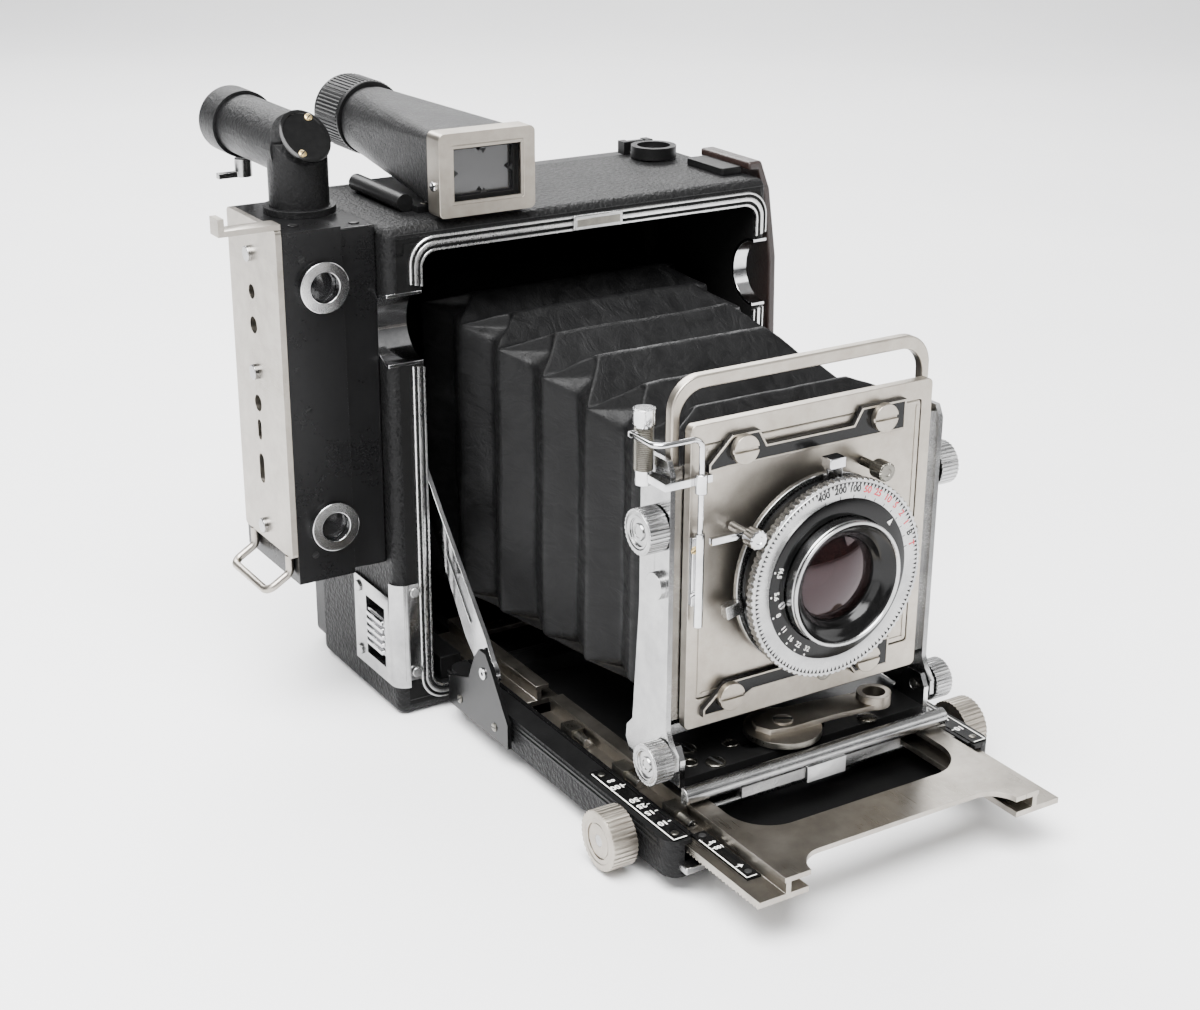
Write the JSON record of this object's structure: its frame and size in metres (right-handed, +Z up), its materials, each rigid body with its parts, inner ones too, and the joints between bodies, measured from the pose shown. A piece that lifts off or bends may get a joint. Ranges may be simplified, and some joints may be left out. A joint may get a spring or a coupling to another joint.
{
  "type": "folding camera",
  "caption": "Boxy leather-covered press camera with a drop-down bed, geared rails, bellows, sliding lens standard with leaf shutter, side rangefinder and top finder.",
  "frame": {"origin": "centre of the mouth of the tripod socket, in the body's underside", "axes": "+Z up through the body, lens looks along -Y, +X towards the hand strap"},
  "size_m": [0.1694, 0.2237, 0.1629],
  "materials": {
    "leather": "pebbled black covering",
    "cloth": "black leather cloth",
    "strap": "dark brown leather",
    "satin_nickel": "warm satin nickel",
    "chrome": "bright plate",
    "trim": "striped band",
    "enamel": "black enamel",
    "crinkle": "black crinkle paint",
    "glass": "coated glass",
    "brass": "aged"
  },
  "bodies": {
    "root": {"body_shell": "leather", "tripod_socket": "satin_nickel", "front_trim": "trim", "release_plate": "chrome", "body_fasteners": "chrome", "body_guides": "enamel", "bellows_rear_frame": "enamel", "back_frame": "enamel", "leaf_springs": "enamel", "rangefinder_base": "crinkle", "rangefinder_cover": "crinkle", "rangefinder_optics": "chrome", "flash_bracket": "satin_nickel", "focus_light_body": "crinkle", "viewfinder_housing": "crinkle", "viewfinder_frame": "satin_nickel", "viewfinder_optics": "glass", "finder_mounts": "satin_nickel", "hand_strap": "strap", "bed_hinge_pin": "satin_nickel", "bellows_rear": "cloth"},
    "release_slider": {"release_slider": "chrome"},
    "focusing_back": {"focusing_panel": "enamel", "ground_glass": "glass"},
    "hood_door": {"hood_door": "enamel"},
    "light_switch": {"focus_light_switch": "satin_nickel"},
    "eyepiece": {"viewfinder_eyepiece": "crinkle"},
    "peep_sight": {"peep_sight": "enamel"},
    "inner_rails": {"inner_rails": "satin_nickel"},
    "bed": {"bed_plate": "enamel", "bed_strips": "enamel", "brace_brackets": "enamel", "bellows_front": "cloth"},
    "braces": {"braces": "chrome"},
    "rails": {"focus_rails": "satin_nickel", "rail_stops": "enamel"},
    "focus_shaft": {"focus_shaft": "satin_nickel", "focus_knobs": "satin_nickel"},
    "carriage": {"carriage_base": "chrome"},
    "lock_lever": {"lock_lever": "satin_nickel"},
    "shift_block": {"shift_block": "enamel"},
    "standard": {"standard_frame": "satin_nickel"},
    "tilt_knobs": {"tilt_knobs": "chrome"},
    "rise_knobs": {"rise_knobs": "chrome"},
    "lens_panel": {"lens_panel": "satin_nickel", "lens_board": "satin_nickel", "board_clips": "enamel", "bellows_front_frame": "enamel", "shutter_body": "enamel", "shutter_posts": "chrome", "lens_cell": "enamel", "lens_glass": "glass", "iris_blades": "enamel", "rear_cell": "enamel"},
    "finder_bail": {"finder_bail": "satin_nickel"},
    "release_linkage": {"release_linkage": "chrome"},
    "speed_ring": {"speed_ring": "chrome"},
    "aperture_lever": {"aperture_lever": "chrome"},
    "cocking_lever": {"cocking_lever": "chrome"},
    "trip_lever": {"trip_lever": "chrome"}
  },
  "joints": [
    {"name": "bed_drop", "type": "hinge", "parent": "root", "child": "bed", "pos_m": [0, -0.0255, 0.0095], "axis": [1, 0, 0], "range_deg": [0, 15], "deforming": ["bellows_rear"]},
    {"name": "brace_swing", "type": "hinge", "parent": "bed", "child": "braces", "pos_m": [0, -0.0533, 0.0226], "axis": [1, 0, 0], "range_deg": [-18, 1]},
    {"name": "focus_slide", "type": "slide", "parent": "bed", "child": "rails", "axis": [0, 1, 0], "range_m": [0, 0.028], "deforming": ["bellows_front"]},
    {"name": "inner_rail_slide", "type": "slide", "parent": "root", "child": "inner_rails", "axis": [0, 1, 0], "range_m": [0, 0.0285]},
    {"name": "focus_turn", "type": "hinge", "parent": "bed", "child": "focus_shaft", "pos_m": [0, -0.12, 0.0085], "axis": [1, 0, 0], "range_deg": [-770, 5]},
    {"name": "standard_slide", "type": "slide", "parent": "rails", "child": "carriage", "axis": [0, 1, 0], "range_m": [0, 0.02]},
    {"name": "lock_lever_turn", "type": "hinge", "parent": "carriage", "child": "lock_lever", "pos_m": [-0.003, -0.1185, 0.022], "axis": [0, 0, 1], "range_deg": [0, 38]},
    {"name": "lateral_shift", "type": "slide", "parent": "carriage", "child": "shift_block", "axis": [1, 0, 0], "range_m": [-0.008, 0.008]},
    {"name": "standard_tilt", "type": "hinge", "parent": "shift_block", "child": "standard", "pos_m": [0, -0.121, 0.0258], "axis": [-1, 0, 0], "range_deg": [0, 10]},
    {"name": "tilt_knob_turn", "type": "hinge", "parent": "shift_block", "child": "tilt_knobs", "pos_m": [0, -0.121, 0.0258], "axis": [1, 0, 0], "continuous": true},
    {"name": "rise_knob_turn", "type": "hinge", "parent": "standard", "child": "rise_knobs", "pos_m": [0, -0.1168, 0.0835], "axis": [1, 0, 0], "continuous": true},
    {"name": "lens_rise", "type": "slide", "parent": "standard", "child": "lens_panel", "axis": [0, 0, 1], "range_m": [0, 0.015]},
    {"name": "bail_slide", "type": "slide", "parent": "lens_panel", "child": "finder_bail", "axis": [0, 0, 1], "range_m": [0, 0.048]},
    {"name": "release_push", "type": "slide", "parent": "lens_panel", "child": "release_linkage", "axis": [0, 0, -1], "range_m": [0, 0.004], "stiffness_N_per_m": 150, "springref_m": -0.002},
    {"name": "speed_ring_turn", "type": "hinge", "parent": "lens_panel", "child": "speed_ring", "pos_m": [0, -0.132, 0.0679], "axis": [0, -1, 0], "range_deg": [-140, 140]},
    {"name": "aperture_turn", "type": "hinge", "parent": "lens_panel", "child": "aperture_lever", "pos_m": [0, -0.126, 0.0679], "axis": [0, -1, 0], "range_deg": [0, 50]},
    {"name": "cocking_turn", "type": "hinge", "parent": "lens_panel", "child": "cocking_lever", "pos_m": [0, -0.128, 0.0679], "axis": [0, -1, 0], "range_deg": [0, 34]},
    {"name": "trip_turn", "type": "hinge", "parent": "lens_panel", "child": "trip_lever", "pos_m": [-0.0232, -0.128, 0.0825], "axis": [0, -1, 0], "range_deg": [0, 14], "stiffness_Nm_per_rad": 0.02, "springref_deg": -11.46},
    {"name": "release_slide", "type": "slide", "parent": "root", "child": "release_slider", "axis": [0, 0, 1], "range_m": [-0.0025, 0.003]},
    {"name": "back_slide", "type": "slide", "parent": "root", "child": "focusing_back", "axis": [0, 1, 0], "range_m": [0, 0.01], "stiffness_N_per_m": 800, "springref_m": -0.004},
    {"name": "hood_swing", "type": "hinge", "parent": "focusing_back", "child": "hood_door", "pos_m": [0, 0.044, 0.0092], "axis": [-1, 0, 0], "range_deg": [0, 100]},
    {"name": "light_switch_turn", "type": "hinge", "parent": "root", "child": "light_switch", "pos_m": [-0.074, 0.0355, 0.1415], "axis": [0, 0, 1], "range_deg": [-40, 40]},
    {"name": "eyepiece_turn", "type": "hinge", "parent": "root", "child": "eyepiece", "pos_m": [-0.0331, 0.047, 0.1505], "axis": [0, 1, 0], "range_deg": [-60, 60]},
    {"name": "peep_swing", "type": "hinge", "parent": "root", "child": "peep_sight", "pos_m": [0.044, 0.0242, 0.1381], "axis": [-1, 0, 0], "range_deg": [0, 90]}
  ],
  "couplings": [
    {"joint": "brace_swing", "follows": "bed_drop", "ratio": -1.1333},
    {"joint": "inner_rail_slide", "follows": "focus_slide", "ratio": 1},
    {"joint": "focus_turn", "follows": "focus_slide", "rad_per_m": -476.19}
  ]
}
